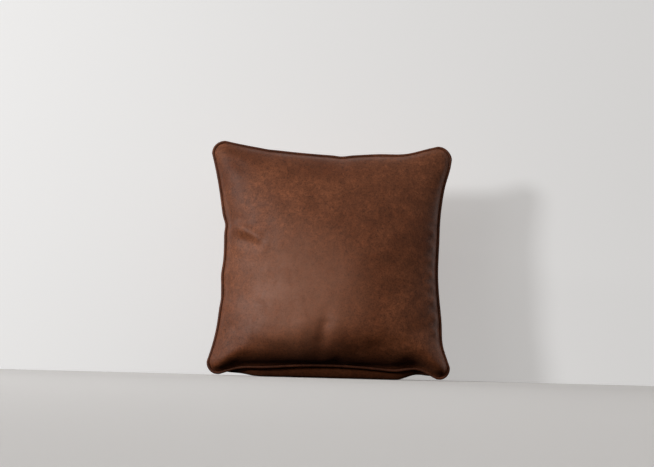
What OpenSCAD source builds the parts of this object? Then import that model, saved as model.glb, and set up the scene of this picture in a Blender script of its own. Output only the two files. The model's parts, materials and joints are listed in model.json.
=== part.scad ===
// Throw pillow: a piped faux-leather cover with a zip across its lower back, round a stuffed insert.
// Millimetres. +Z is up, the front faces -Y, and the pillow stands leaning back on its two lower
// corners and on the flattened bottom of its back.

/* [Cover] */
// Width from corner to corner, outside the piping
cover_w = 456; // [446:1:466]
// Height from corner to corner, outside the piping
cover_h = 447; // [441:1:455]
// Depth of the bulge in front of the seam
front_bulge = 76; // [70:1:80]
// Depth of the bulge behind the seam
back_bulge = 80; // [77:1:83]
// Radius of the corners along the seam
corner_r = 22; // [18:1:26]
// How far the left side is drawn in at its middle
pull_left = 27; // [20:1:30]
// How far the right side is drawn in at its middle
pull_right = 24; // [20:1:30]
// How far the top side is drawn in at its middle
pull_top = 21; // [15:1:24]
// How far the bottom side is drawn in at its middle
pull_bottom = 21; // [18:1:22]
// How far the top side sits to the left of the bottom side
top_drift = 4; // [0:1:6]
// How far the back's fill has slumped at the bottom
slump = 32; // [31:1:34]
// Angle at which the pillow leans back
lean = 4.5; // [4:0.5:5]
// Thickness of the faux leather
skin = 0.9; // [0.7:0.1:1]

/* [Piping] */
// Diameter of the piping over its wrap
piping_d = 5.6; // [5.2:0.1:6]
// Thickness of the wrap round the cord
wrap = 0.6; // [0.4:0.1:0.7]
// Width of the wrap's flange inside the seam
flange_w = 8; // [6:1:8]

/* [Zip] */
// Height of the zip above the lower corners
zip_v = 122; // [120:1:124]
// Radius of the arc that the zip lies on
zip_r = 480; // [460:5:500]
// Angle at the arc's centre from the zip's middle to each of its ends
zip_half_angle = 18; // [17:0.5:18.5]
// Width of the opening between the panels' folded edges
zip_gap = 12; // [11.6:0.1:12.4]
// Width of each tape
tape_w = 12; // [11:0.5:12]
// Length of the pull tab
pull_len = 27; // [22:1:30]

/* [Insert] */
// How far the insert's seam lies inside the cover's seam
insert_inset = 12.5; // [12:0.5:14]
// Depth of the insert's face under the outside of the cover
insert_depth = 3.8; // [3.8:0.1:4.2]
// Thickness of the insert's ticking
ticking = 0.5; // [0.3:0.1:0.6]

/* [Hidden] */

leather_brown = [0.41, 0.25, 0.18];
piping_brown = [0.30, 0.17, 0.12];
thread_brown = [0.24, 0.14, 0.10];
zip_brown = [0.20, 0.12, 0.09];
antique_brass = [0.55, 0.43, 0.25];
cloth_white = [0.92, 0.91, 0.88];
fibre_white = [0.97, 0.97, 0.96];

// Clearance between the panels' edges and the piping
seam_gap = 0.35;
// The seam line: half its width and height, and the height of its middle
half_w = cover_w / 2 - piping_d - seam_gap;
half_h = cover_h / 2 - piping_d - seam_gap;
mid_v = cover_h / 2;
// Share of the half width or height where a drawn-in side meets its corner
ear = 0.9;
// Steps along one side and round one corner of the seam line
side_steps = 12;
corner_steps = 5;
// Half the thickness of the piping's folded flange, and the panels' edges just clear of it
slit = 0.05;
flange_half = wrap + slit;
edge_w = flange_half + 0.07;
// Shares of the way from a panel's middle to its edge at which the rings of points lie
front_rings = [0.2, 0.4, 0.58, 0.72, 0.83, 0.91, 0.96, 0.985, 1];
upper_rings = [0.22, 0.44, 0.62, 0.77, 0.88, 0.95, 0.985, 1];
lower_rings = [0.3, 0.55, 0.75, 0.88, 0.95, 0.985, 0.9995, 1];
insert_rings = [0.22, 0.44, 0.62, 0.78, 0.9, 0.97, 1];

// ---- Shape of the cover ----

function smooth(a, b, x) = let (t = min(1, max(0, (x - a) / (b - a)))) t * t * (3 - 2 * t);

// How strongly a side is drawn in, from 1 at its middle to 0 at its corners
function bow(t) = max(0, 1 - pow(t / ear, 2));

// Section of an inflated face, from 1 at its middle to 0 at its edge
function arch(t, a, b) = pow(max(0, 1 - pow(abs(t), a)), b);

// A point is given as shares of the half width and height. This is its place in the seam's plane.
function plan(p, inset) =
    let (px = p.x < 0 ? pull_left : pull_right)
    let (py = p.y < 0 ? pull_bottom : pull_top)
    [
        p.x * (half_w - inset - px * bow(p.y)) - p.y * top_drift / 2,
        mid_v + p.y * (half_h - inset - py * bow(p.x))
    ];

function front_crown(p) =
    front_bulge * arch(p.x, 2.2, 0.5) * (p.y < 0 ? arch(p.y, 2.4, 0.45) : arch(p.y, 2.2, 0.52));

function back_crown(p) =
    back_bulge * arch(p.x, 2.2, 0.5) * (p.y < 0 ? arch(p.y, 2.6, 0.34) : arch(p.y, 2.2, 0.52));

// Share of the half height at which the height v lies, above the share x of the half width
function share_y(v, x) = (v - mid_v) / (half_h - (v < mid_v ? pull_bottom : pull_top) * bow(x));

// Share of the half width at which the zip's line is u from the middle
function zip_share_x(u) =
    let (y = share_y(zip_v, 0))
    (u + y * top_drift / 2) / (half_w - (u < 0 ? pull_left : pull_right) * bow(y));

// The back face turns into part of a cone about an upright axis where the zip lies on it
function crown_at_zip(dv) = back_crown([0, share_y(zip_v + dv, 0)]);
zip_tilt = atan((crown_at_zip(5) - crown_at_zip(-5)) / 10);
zip_centre = zip_r - crown_at_zip(0);
zip_reach = zip_r * sin(zip_half_angle);

function zip_cone(q) =
    sqrt(pow(zip_r + (q.y - zip_v) * tan(zip_tilt), 2) - q.x * q.x) - zip_centre;

function zip_weight(q) =
    (1 - smooth(zip_gap + 10, 50, abs(q.y - zip_v)))
    * (1 - smooth(zip_reach + 28, zip_reach + 50, abs(q.x)));

function back_face(p, q) =
    let (k = zip_weight(q))
    back_crown(p) * (1 - k) + (k > 0 ? k * zip_cone(q) : 0);

// How far a point of the back has sunk, next to nothing at the seam and up at the zip
function sink(p, w, v) =
    slump * smooth(5, 17, w) * (1 - smooth(34, zip_v - zip_gap / 2 - 8, v)) * sqrt(bow(p.x));

// Leans a point of the upright pillow back and keeps it above the floor
function stand(p, floor_z) = [
    p.x,
    p.y * cos(lean) + p.z * sin(lean),
    max(floor_z, p.z * cos(lean) - p.y * sin(lean))
];

// Point of a face: side is -1 in front and 1 behind, depth is how far under the cover's outside
function face_point(p, side, inset, depth, least_w, floor_z) =
    let (q = plan(p, inset))
    let (w = max(least_w, (side < 0 ? front_crown(p) : back_face(p, q)) - depth))
    let (v = side < 0 ? q.y : q.y - sink(p, w, q.y))
    stand([q.x, side * w, v], floor_z);

// ---- Outlines, as shares of the half width and height, anticlockwise from the front ----

function corner_arc(sx, sy, from) = [
    for (k = [0:corner_steps])
        let (a = from + 90 * k / corner_steps)
        [
            (sx * (half_w - corner_r) + corner_r * cos(a)) / half_w,
            (sy * (half_h - corner_r) + corner_r * sin(a)) / half_h
        ]
];

function between(a, b, steps) = [for (k = [1:steps - 1]) a + (b - a) * k / steps];

function outline() =
    let (
        tr = corner_arc(1, 1, 0),
        tl = corner_arc(-1, 1, 90),
        bl = corner_arc(-1, -1, 180),
        br = corner_arc(1, -1, 270),
        n = corner_steps
    )
    concat(
        tr, between(tr[n], tl[0], side_steps), tl, between(tl[n], bl[0], side_steps),
        bl, between(bl[n], br[0], side_steps), br, between(br[n], tr[0], side_steps)
    );

seam_line = outline();

// The panels' edge along the zip, from right to left. It parts to leave the zip's opening, which
// narrows to a point past each end of the zip.
zip_end = zip_reach + 1;
point_step = 4;
zip_point = zip_end + 3 * point_step;
zip_edge_u = concat(
    [for (k = [0:2]) zip_point - k * point_step],
    [for (k = [0:20]) zip_end * (1 - k / 10)],
    [for (k = [2:-1:0]) k * point_step - zip_point]
);
// Shares of the half width at which the plain seam past each end of the zip has a point
plain_seam_x = [1, 0.985, 0.955, 0.92, 0.88];
seam_slit = 0.1;

function half_gap(u) =
    seam_slit + (zip_gap / 2 - seam_slit) * (1 - max(0, abs(u) - zip_end) / (zip_point - zip_end));

function zip_edge_point(x, dv) = [x, share_y(zip_v + dv, x)];

function zip_edge(side) = concat(
    [for (x = plain_seam_x) zip_edge_point(x, side * seam_slit)],
    [for (u = zip_edge_u) zip_edge_point(zip_share_x(u), side * half_gap(u))],
    [for (x = reversed(plain_seam_x)) zip_edge_point(-x, side * seam_slit)]
);

function reversed(list) = [for (k = [len(list) - 1:-1:0]) list[k]];

// Which side of the zip's line a point of the seam is on
function above_zip(p) = p.y > share_y(zip_v, p.x) + 0.03;
function below_zip(p) = p.y < share_y(zip_v, p.x) - 0.03;

// The seam line's last stretch goes straight up the right side
function on_right_side(p) = p.x > 0.999 && p.y < 1 - corner_r / half_h - 0.001;

// Seam points above the zip, from the right end of the zip round the top to its left end
function upper_seam() = concat(
    [for (p = seam_line) if (above_zip(p) && on_right_side(p)) p],
    [for (p = seam_line) if (above_zip(p) && !on_right_side(p)) p]
);

// Seam points below the zip, from the left end of the zip round the bottom to its right end
function lower_seam() = [for (p = seam_line) if (below_zip(p)) p];

upper_loop = concat(upper_seam(), reversed(zip_edge(1)));
lower_loop = concat(lower_seam(), zip_edge(-1));
whole_middle = [0, 0];
upper_middle = [0, (1 + share_y(zip_v, 0)) / 2];
lower_middle = [0, (share_y(zip_v, 0) - 1) / 2];

// Is this point of a loop on the seam, where the face closes down to the piping's flange?
function on_seam(p) = abs(p.x) > 0.999 || abs(p.y) > 0.999
    || pow(max(0, abs(p.x) * half_w - half_w + corner_r), 2)
     + pow(max(0, abs(p.y) * half_h - half_h + corner_r), 2) > pow(corner_r - 0.01, 2);

// ---- Closed solids from rings of points ----

// One surface: its middle point, then its rings from the middle outwards
function face_rings(loop, middle, rings, side, inset, depth, floor_z, rim_w) = concat(
    [face_point(middle, side, inset, depth, rim_w, floor_z)],
    [
        for (k = rings, p = loop)
            let (seam = k == 1 && on_seam(p))
            face_point(middle + k * (p - middle), side, inset, seam ? 1000 : depth, rim_w, floor_z)
    ]
);

// Triangles of a surface of n points a ring, whose points start at base. flip turns it over.
function fan(base, n, flip) = [
    for (i = [0:n - 1])
        let (a = base + 1 + i, b = base + 1 + (i + 1) % n)
        flip ? [base, b, a] : [base, a, b]
];

function strip(a0, b0, n, flip) = [
    for (i = [0:n - 1], half = [0, 1])
        let (j = (i + 1) % n)
        let (t = half == 0 ? [a0 + i, b0 + i, b0 + j] : [a0 + i, b0 + j, a0 + j])
        flip ? [t[2], t[1], t[0]] : t
];

function rings_faces(base, n, rings, flip) = concat(
    fan(base, n, flip),
    rings < 2 ? [] : [
        for (k = [0:rings - 2])
            each strip(base + 1 + k * n, base + 1 + (k + 1) * n, n, flip)
    ]
);

// Sheet of the given thickness between two depths, closed all round its edge
module sheet_solid(loop, middle, rings, side, inset, depth, thick, floor_z, rim_w) {
    n = len(loop);
    m = len(rings);
    outer = face_rings(loop, middle, rings, side, inset, depth, floor_z, rim_w);
    inner = face_rings(loop, middle, rings, side, inset + thick, depth + thick, floor_z + thick, rim_w);
    base = len(outer);
    front = side < 0;
    polyhedron(
        concat(outer, inner),
        concat(
            rings_faces(0, n, m, front),
            strip(1 + (m - 1) * n, base + 1 + (m - 1) * n, n, front),
            rings_faces(base, n, m, !front)
        )
    );
}

// Ring of sections swept round the seam line. Each section point is [outwards, backwards].
module seam_sweep(section, inset) {
    path = [for (p = seam_line) plan(p, inset)];
    n = len(path);
    m = len(section);
    points = [
        for (i = [0:n - 1])
            let (d = path[(i + 1) % n] - path[(i + n - 1) % n], t = d / norm(d))
            for (s = section) stand([path[i].x + t.y * s.x, s.y, path[i].y - t.x * s.x], 0)
    ];
    faces = [
        for (i = [0:n - 1], j = [0:m - 1])
            let (a = i * m + j, b = i * m + (j + 1) % m)
            let (c = ((i + 1) % n) * m + (j + 1) % m, d = ((i + 1) % n) * m + j)
            each [[a, b, c], [a, c, d]]
    ];
    polyhedron(points, faces);
}

// ---- Placing ----

// The pillow's box is centred on the origin from front to back
front_outside = face_rings(seam_line, whole_middle, front_rings, -1, 0, 0, 0, edge_w);
back_outside = face_rings(seam_line, whole_middle, front_rings, 1, 0, 0, 0, edge_w);
y_centre = (min([for (p = front_outside) p.y]) + max([for (p = back_outside) p.y])) / 2;

module placed() {
    translate([0, -y_centre, 0]) children();
}

module leaned() {
    placed() rotate([-lean, 0, 0]) children();
}

// Sweeps a section along the zip's arc. The section's x is outwards and its y is up the face.
module along_zip(from, to) {
    leaned()
        translate([0, -zip_centre, zip_v])
            rotate([0, 0, 90 - to])
                rotate_extrude(angle = to - from, $fn = 360)
                    translate([zip_r, 0])
                        rotate(-zip_tilt)
                            children();
}

// Places a piece on the zip's arc: x towards the open end, y up the face, z outwards
module at_zip(angle) {
    leaned()
        translate([zip_r * sin(angle), zip_r * cos(angle) - zip_centre, zip_v])
            rotate([90 + zip_tilt, 0, 180 - angle])
                children();
}

// ---- Cover ----

module front_panel() {
    color(leather_brown)
        placed() sheet_solid(seam_line, whole_middle, front_rings, -1, 0, 0, skin, 0, edge_w);
}

module back_upper_panel() {
    color(leather_brown)
        placed() sheet_solid(upper_loop, upper_middle, upper_rings, 1, 0, 0, skin, 0, edge_w);
}

module back_lower_panel() {
    color(leather_brown)
        placed() sheet_solid(lower_loop, lower_middle, lower_rings, 1, 0, 0, skin, 0, edge_w);
}

// The wrap's section: a strip folded round the cord, its two edges lying together as the flange
wrap_turn = 160;
wrap_tip = -piping_d / 2 - flange_w;
piping_inset = -piping_d / 2 - seam_gap;

function round_section(r, steps, turn) =
    [for (k = [0:steps]) let (a = turn - 2 * turn * k / steps) [r * cos(a), r * sin(a)]];

function wrap_section() =
    let (inner_r = piping_d / 2 - wrap)
    concat(
        [[wrap_tip, flange_half]], round_section(piping_d / 2, 10, 180 - asin(flange_half * 2 / piping_d)),
        [[wrap_tip, -flange_half], [wrap_tip, -slit]],
        reversed(round_section(inner_r, 8, wrap_turn)), [[wrap_tip, slit]]
    );

module piping_wrap() {
    color(piping_brown)
        placed() seam_sweep(wrap_section(), piping_inset);
}

module piping_cord() {
    r = piping_d / 2 - wrap - 0.25;
    color(cloth_white)
        placed() seam_sweep([for (k = [0:7]) r * [cos(45 * k), -sin(45 * k)]], piping_inset);
}

// The perimeter seam's needle and bobbin threads, which lie on the flange just inside the panels
thread_r = 0.2;
module seam_thread() {
    color(thread_brown)
        placed()
            for (side = [-1, 1])
                seam_sweep(
                    [
                        for (k = [0:3])
                            [thread_r * cos(90 * k), side * (flange_half + 0.3) - thread_r * sin(90 * k)]
                    ],
                    skin + 0.6
                );
}

// ---- Zip ----

tape_top = -skin - 0.25;
tape_t = 0.6;
coil_inner = 0.6;
coil_w = 2.6;
coil_h = 2.4;
slider_len = 11.4;
slider_half_w = 4.75;
slider_gap = 0.3;
stop_len = 2.2;
bottom_stop_len = 3;
// Angle of a length along the zip
function along(length) = length / zip_r * 180 / PI;
tape_end = zip_half_angle + along(10);
top_stop_at = zip_half_angle - along(stop_len);
slider_at = top_stop_at - along(slider_len / 2 + slider_gap);
slider_travel = slider_at + zip_half_angle - along(bottom_stop_len + slider_len / 2 + slider_gap);

module zip_tape(side) {
    color(zip_brown)
        along_zip(-tape_end, tape_end)
            translate([tape_top - tape_t, side > 0 ? coil_inner : -tape_w])
                square([tape_t, tape_w - coil_inner]);
}

module zip_tape_upper() {
    zip_tape(1);
}

module zip_tape_lower() {
    zip_tape(-1);
}

// A meshed half of the nylon coil, which lies on its tape
module zip_coil(side) {
    c = 0.5;
    color(thread_brown)
        along_zip(-zip_half_angle + along(bottom_stop_len + 0.1), top_stop_at - along(0.1))
            translate([tape_top + 0.02, side > 0 ? coil_inner : -coil_inner - coil_w])
                polygon([
                    [0, 0], [coil_h - c, 0], [coil_h, c], [coil_h, coil_w - c],
                    [coil_h - c, coil_w], [0, coil_w]
                ]);
}

module zip_coil_upper() {
    zip_coil(1);
}

module zip_coil_lower() {
    zip_coil(-1);
}

module zip_top_stops() {
    color(antique_brass)
        along_zip(top_stop_at, zip_half_angle)
            for (side = [-1, 1])
                translate([tape_top + 0.02, side > 0 ? coil_inner : -coil_inner - coil_w])
                    square([coil_h, coil_w]);
}

module zip_bottom_stop() {
    color(antique_brass)
        along_zip(-zip_half_angle, -zip_half_angle + along(bottom_stop_len))
            translate([tape_top + 0.02, -coil_inner - coil_w])
                square([coil_h + 0.2, 2 * (coil_inner + coil_w)]);
}

// The slider: two plates joined by a thin post that passes between the coils, side lips, and a
// bridge on top that the pull tab's crossbar turns under
plate_t = 1.2;
plate_z = tape_top + coil_h + 0.3;
under_z = tape_top - tape_t - 0.3;
under_t = 1;
lip_t = 1;
lip_out = slider_half_w - 0.4;
lip_back = 1.6;
bridge_half = 4.2;
bridge_t = 0.9;
hinge_z = plate_z + plate_t + 0.85;
bar_r = 0.6;
pull_t = 1.2;
pull_w = 6.6;
arm_in = 1.5;
arm_out = 2.7;

module plate(half_len, nose, tail, thick) {
    c = 1.4;
    linear_extrude(thick)
        polygon([
            [-half_len, -nose + c], [-half_len + c, -nose], [half_len - c, -tail],
            [half_len, -tail + c], [half_len, tail - c], [half_len - c, tail],
            [-half_len + c, nose], [-half_len, nose - c]
        ]);
}

module zip_slider() {
    half_len = slider_len / 2;
    color(antique_brass)
        at_zip(slider_at) {
            translate([0, 0, plate_z]) plate(half_len, slider_half_w, slider_half_w - 0.4, plate_t);
            translate([0, 0, under_z - under_t])
                plate(half_len - 0.3, slider_half_w - 0.2, slider_half_w - 0.6, under_t);
            for (y = [-lip_out, lip_out - lip_t])
                translate([-half_len + lip_back, y, tape_top + 0.3])
                    cube([slider_len - 2 * lip_back, lip_t, plate_z - tape_top - 0.2]);
            translate([-half_len + 0.6, -0.35, under_z - 0.1])
                cube([3.6, 0.7, plate_z - under_z + 0.2]);
            for (end = [-bridge_half, bridge_half - 1])
                translate([end, -1, plate_z + plate_t - 0.1])
                    cube([1, 2, hinge_z + bar_r + 0.15 - plate_z - plate_t + 0.2]);
            translate([-bridge_half, -1, hinge_z + bar_r + 0.15])
                cube([2 * bridge_half, 2, bridge_t]);
        }
}

module zip_pull_tab() {
    body_x = 6;
    end_r = pull_w / 2;
    color(antique_brass)
        at_zip(slider_at)
            translate([0, 0, hinge_z]) {
                rotate([90, 0, 0]) cylinder(r = bar_r, h = 2 * arm_out, center = true, $fn = 32);
                for (side = [-1, 1])
                    translate([0, side > 0 ? arm_in : -arm_out, -pull_t / 2])
                        cube([body_x + 0.5, arm_out - arm_in, pull_t]);
                difference() {
                    translate([0, 0, -pull_t / 2])
                        union() {
                            translate([body_x, -end_r, 0]) cube([pull_len - body_x - end_r, pull_w, pull_t]);
                            translate([pull_len - end_r, 0, 0]) cylinder(r = end_r - 0.01, h = pull_t, $fn = 48);
                        }
                    translate([pull_len - end_r, 0, -pull_t])
                        cylinder(r = 1.4, h = 2 * pull_t, $fn = 32);
                }
            }
}

// Thread of the line of stitches that holds a folded edge to its tape
stitch_end = zip_half_angle + along(8);
module zip_topstitch(side) {
    color(thread_brown)
        along_zip(-stitch_end, stitch_end)
            translate([0.3, side * (zip_gap / 2 + 2.5)])
                circle(r = 0.22, $fn = 24);
}

module zip_topstitch_upper() {
    zip_topstitch(1);
}

module zip_topstitch_lower() {
    zip_topstitch(-1);
}

// ---- Labels and insert ----

// Small patch of cloth that follows a face of the pillow. x and y are its ranges in shares.
module patch(x, y, side, inset, depth, thick) {
    n = 6;
    points = [
        for (d = [0, thick], j = [0:n], i = [0:n])
            let (p = [x[0] + (x[1] - x[0]) * i / n, y[0] + (y[1] - y[0]) * j / n])
            face_point(p, side, inset, depth + d, 0, 0)
    ];
    m = n + 1;
    base = m * m;
    function quad(a, b, c, d) = side > 0 ? [[a, c, b], [a, d, c]] : [[a, b, c], [a, c, d]];
    faces = concat(
        [
            for (j = [0:n - 1], i = [0:n - 1])
                let (a = j * m + i)
                each quad(a, a + 1, a + m + 1, a + m)
        ],
        [
            for (j = [0:n - 1], i = [0:n - 1])
                let (a = base + j * m + i)
                each quad(a, a + m, a + m + 1, a + 1)
        ],
        [for (i = [0:n - 1]) each quad(base + i, base + i + 1, i + 1, i)],
        [
            for (i = [0:n - 1])
                let (a = n * m + i)
                each quad(a, a + 1, base + a + 1, base + a)
        ],
        [
            for (j = [0:n - 1])
                let (a = j * m)
                each quad(a, a + m, base + a + m, base + a)
        ],
        [
            for (j = [0:n - 1])
                let (a = j * m + n)
                each quad(base + a, base + a + m, a + m, a)
        ]
    );
    polyhedron(points, faces);
}

module care_label() {
    color(cloth_white)
        placed() patch([-0.3, -0.18], [share_y(zip_v + 18, 0), share_y(zip_v + 48, 0)], 1, 0, skin + 1, 0.4);
}

insert_edge = 0.1;

module insert_front_ticking() {
    color(cloth_white)
        placed()
            sheet_solid(
                seam_line, whole_middle, insert_rings, -1, insert_inset, insert_depth, ticking,
                insert_depth, insert_edge
            );
}

module insert_back_ticking() {
    color(cloth_white)
        placed()
            sheet_solid(
                seam_line, whole_middle, insert_rings, 1, insert_inset, insert_depth, ticking,
                insert_depth, insert_edge
            );
}

module insert_fill() {
    inset = insert_inset + ticking + 0.3;
    depth = insert_depth + ticking + 0.2;
    n = len(seam_line);
    m = len(insert_rings);
    front = face_rings(seam_line, whole_middle, insert_rings, -1, inset, depth, depth, 0);
    behind = face_rings(seam_line, whole_middle, insert_rings, 1, inset, depth, depth, 0);
    rim = 1 + (m - 1) * n;
    // The two faces share the front one's rim
    base = len(front);
    back_points = [for (k = [0:rim - 1]) behind[k]];
    back_faces = [
        for (f = rings_faces(base, n, m, false))
            [for (k = f) k >= base + rim ? k - base : k]
    ];
    color(fibre_white)
        placed() polyhedron(concat(front, back_points), concat(rings_faces(0, n, m, true), back_faces));
}

module insert_label() {
    color(cloth_white)
        placed() patch([-0.8, -0.68], [-0.86, -0.76], -1, insert_inset, insert_depth - 0.9, 0.4);
}

front_panel();
back_upper_panel();
back_lower_panel();
piping_wrap();
piping_cord();
seam_thread();
zip_tape_upper();
zip_tape_lower();
zip_coil_upper();
zip_coil_lower();
zip_top_stops();
zip_bottom_stop();
zip_slider();
zip_pull_tab();
zip_topstitch_upper();
zip_topstitch_lower();
care_label();
insert_front_ticking();
insert_back_ticking();
insert_fill();
insert_label();
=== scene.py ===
"""Throw pillow in piped faux leather: its looks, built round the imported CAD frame.

Shapes are worked out in millimetres in the pillow's own plane: u to the right, w backwards and v up
the face. stand() leans the pillow back as it stands and turns a point into the frame's metres.
"""

import json
import math

import bpy
from mathutils import Matrix, Vector, noise


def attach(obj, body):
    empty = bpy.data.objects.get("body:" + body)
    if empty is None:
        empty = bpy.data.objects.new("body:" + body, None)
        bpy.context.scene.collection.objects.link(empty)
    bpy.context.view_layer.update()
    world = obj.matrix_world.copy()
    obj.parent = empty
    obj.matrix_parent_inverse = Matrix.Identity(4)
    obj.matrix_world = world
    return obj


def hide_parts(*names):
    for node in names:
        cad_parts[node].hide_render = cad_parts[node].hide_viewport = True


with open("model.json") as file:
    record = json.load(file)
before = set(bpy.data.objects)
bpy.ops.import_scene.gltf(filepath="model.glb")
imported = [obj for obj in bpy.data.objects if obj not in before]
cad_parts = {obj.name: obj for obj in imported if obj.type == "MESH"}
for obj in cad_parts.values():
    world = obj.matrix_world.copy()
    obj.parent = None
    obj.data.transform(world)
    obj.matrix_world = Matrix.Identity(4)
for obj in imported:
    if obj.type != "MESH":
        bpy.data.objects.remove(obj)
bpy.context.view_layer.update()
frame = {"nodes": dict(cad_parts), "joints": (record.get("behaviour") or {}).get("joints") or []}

MM = 0.001

# ---- Driving sizes, the same as in the CAD, in millimetres ----

COVER_W = 456
COVER_H = 447
FRONT_BULGE = 76
BACK_BULGE = 80
CORNER_R = 22
PULL_LEFT = 27
PULL_RIGHT = 24
PULL_TOP = 21
PULL_BOTTOM = 21
TOP_DRIFT = 4
SLUMP = 32
SKIN = 0.9
PIPING_D = 5.6
SEAM_GAP = 0.35
WRAP = 0.6
FLANGE_W = 8
ZIP_V = 122
ZIP_R = 480
ZIP_HALF_ANGLE = 18
ZIP_GAP = 12
PULL_LEN = 27
INSERT_INSET = 12.5
INSERT_DEPTH = 4.2
EAR = 0.9

HALF_W = COVER_W / 2 - PIPING_D - SEAM_GAP
HALF_H = COVER_H / 2 - PIPING_D - SEAM_GAP
MID_V = COVER_H / 2

# How the real seam leaves the smooth line: each bump draws the side in by depth around a place
# (v on the left and right sides, u on the top and bottom ones), over about the given reach.
LEFT_BUMPS = [(284, 13, 3.4), (262, 45, 1.4), (190, 18, -2.4), (144, 13, 1.4), (75, 60, 3.8)]
RIGHT_BUMPS = [(402, 26, -3.2), (255, 40, -1.7), (68, 32, 5.4)]
TOP_BUMPS = [(20, 13, 1.9), (18, 45, 1.4), (-120, 14, 0.8), (140, 38, 5.6)]
BOTTOM_BUMPS = [(-165, 36, 6), (165, 30, 12)]


def smooth(a, b, x):
    t = min(1.0, max(0.0, (x - a) / (b - a)))
    return t * t * (3 - 2 * t)


def bell(x, centre, reach):
    return math.exp(-(((x - centre) / reach) ** 2))


def bow(t):
    """How strongly a side is drawn in, from 1 at its middle to 0 at its corners."""
    return max(0.0, 1 - (t / EAR) ** 2)


def arch(t, a, b):
    """Section of an inflated face, from 1 at its middle to 0 at its edge."""
    return max(0.0, 1 - abs(t) ** a) ** b


def bumps(table, at):
    return sum(depth * bell(at, centre, reach) for centre, reach, depth in table)


def drawn_in_x(x, y):
    v = MID_V + y * HALF_H
    if x < 0:
        return PULL_LEFT * bow(y) + bumps(LEFT_BUMPS, v)
    return PULL_RIGHT * bow(y) + bumps(RIGHT_BUMPS, v)


def drawn_in_y(x, y):
    u = x * HALF_W
    if y < 0:
        return PULL_BOTTOM * bow(x) + bumps(BOTTOM_BUMPS, u)
    return PULL_TOP * bow(x) + bumps(TOP_BUMPS, u)


def plan(x, y, inset=0.0):
    """Place in the seam's plane of a point given as shares of the half width and height."""
    u = x * (HALF_W - inset - drawn_in_x(x, y)) - y * TOP_DRIFT / 2
    return u, MID_V + y * (HALF_H - inset - drawn_in_y(x, y))


def rounded_share(x, y):
    """Moves a point of the square onto the pattern with its round corners."""
    ax = (HALF_W - CORNER_R) / HALF_W
    ay = (HALF_H - CORNER_R) / HALF_H
    if abs(x) <= ax or abs(y) <= ay:
        return x, y
    s = (abs(x) - ax) / (1 - ax)
    t = (abs(y) - ay) / (1 - ay)
    rx = ax + (1 - ax) * s * math.sqrt(1 - t * t / 2)
    ry = ay + (1 - ay) * t * math.sqrt(1 - s * s / 2)
    return math.copysign(rx, x), math.copysign(ry, y)


def rim_distance(x, y):
    """Distance in millimetres from the pattern's rounded outline, measured inwards."""
    qx = abs(x) * HALF_W - (HALF_W - CORNER_R)
    qy = abs(y) * HALF_H - (HALF_H - CORNER_R)
    outside = math.hypot(max(qx, 0), max(qy, 0)) + min(max(qx, qy), 0)
    return CORNER_R - outside


# Where a panel's edge starts beside the piping, and how it turns in along the piping's flange
RIM_W = 3.0
RIM_INSET = -1.2
TUCK = [(-0.35, 2.2), (0.2, 1.35), (0.9, 0.78), (3.0, 0.72), (FLANGE_W, 0.72)]
CLOSURE = 8
AT_RIM = 0.01


def closed_down(crown, x, y):
    """Brings a face down to the seam all round its edge."""
    d = min(1.0, max(0.0, rim_distance(x, y)) / CLOSURE)
    return RIM_W + max(0.0, crown - RIM_W) * math.sqrt(1 - (1 - d) ** 2)


def face_plan(x, y):
    """Place of a face's point. The face's edge leans out over the piping."""
    return plan(x, y, RIM_INSET if rim_distance(x, y) < AT_RIM else 0.0)


# Where the front stands out most, as a share of the half height from the middle
FULLEST_Y = -0.48


def front_crown(x, y):
    """The front face's height. Its fill has settled: it stands out most low and to the right."""
    if y < FULLEST_Y:
        vertical = arch((y - FULLEST_Y) / (1 + FULLEST_Y), 4.2, 1.0)
    else:
        vertical = arch((y - FULLEST_Y) / (1 - FULLEST_Y), 2.3, 0.50)
    low = 1 - smooth(-0.3, 0.3, y)
    middle_x = 0.04 + 0.16 * low
    t = (x - middle_x) / (1 + middle_x if x < middle_x else 1 - middle_x)
    level = arch(t, 2.4 - 0.6 * low, 0.50 + 0.04 * low)
    return FRONT_BULGE * ridged(level, vertical, 0.3 + 3.2 * low)


def ridged(a, b, sharpness):
    """Joins the heights of two crossing sections, with a ridge from each corner."""
    if min(a, b) < 0.001:
        return 0.0
    return (a ** -sharpness + b ** -sharpness - 1) ** (-1 / sharpness)


def back_crown(x, y):
    vertical = arch(y, 2.6, 0.34) if y < 0 else arch(y, 2.2, 0.52)
    return BACK_BULGE * arch(x, 2.2, 0.5) * vertical


def zip_share_y(v):
    """Share of the half height at height v on the middle line, by the CAD's plain seam."""
    return (v - MID_V) / (HALF_H - (PULL_BOTTOM if v < MID_V else PULL_TOP))


# ---- The zip's arc and the pillow's stance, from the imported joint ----

joints = {j["name"]: j for j in frame["joints"]}
zip_axis = joints["zip_travel"]["axis"]
zip_pos = joints["zip_travel"]["pos_m"]
LEAN = math.atan2(zip_axis[1], zip_axis[2])


def crown_at_zip(dv):
    return back_crown(0, zip_share_y(ZIP_V + dv))


ZIP_TILT = math.atan((crown_at_zip(5) - crown_at_zip(-5)) / 10)
ZIP_CENTRE = ZIP_R - crown_at_zip(0)
Y_CENTRE = ZIP_V * math.sin(LEAN) - ZIP_CENTRE * math.cos(LEAN) - zip_pos[1] / MM
ZIP_REACH = ZIP_R * math.sin(math.radians(ZIP_HALF_ANGLE))


def stand(u, w, v, lowest=0.0):
    """Leans a point of the upright pillow back, keeps it above the floor, and gives metres."""
    y = w * math.cos(LEAN) + v * math.sin(LEAN) - Y_CENTRE
    z = v * math.cos(LEAN) - w * math.sin(LEAN)
    return Vector((u, y, max(lowest, z))) * MM


def along(length):
    """Angle, in degrees, of a length along the zip."""
    return math.degrees(length / ZIP_R)


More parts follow.
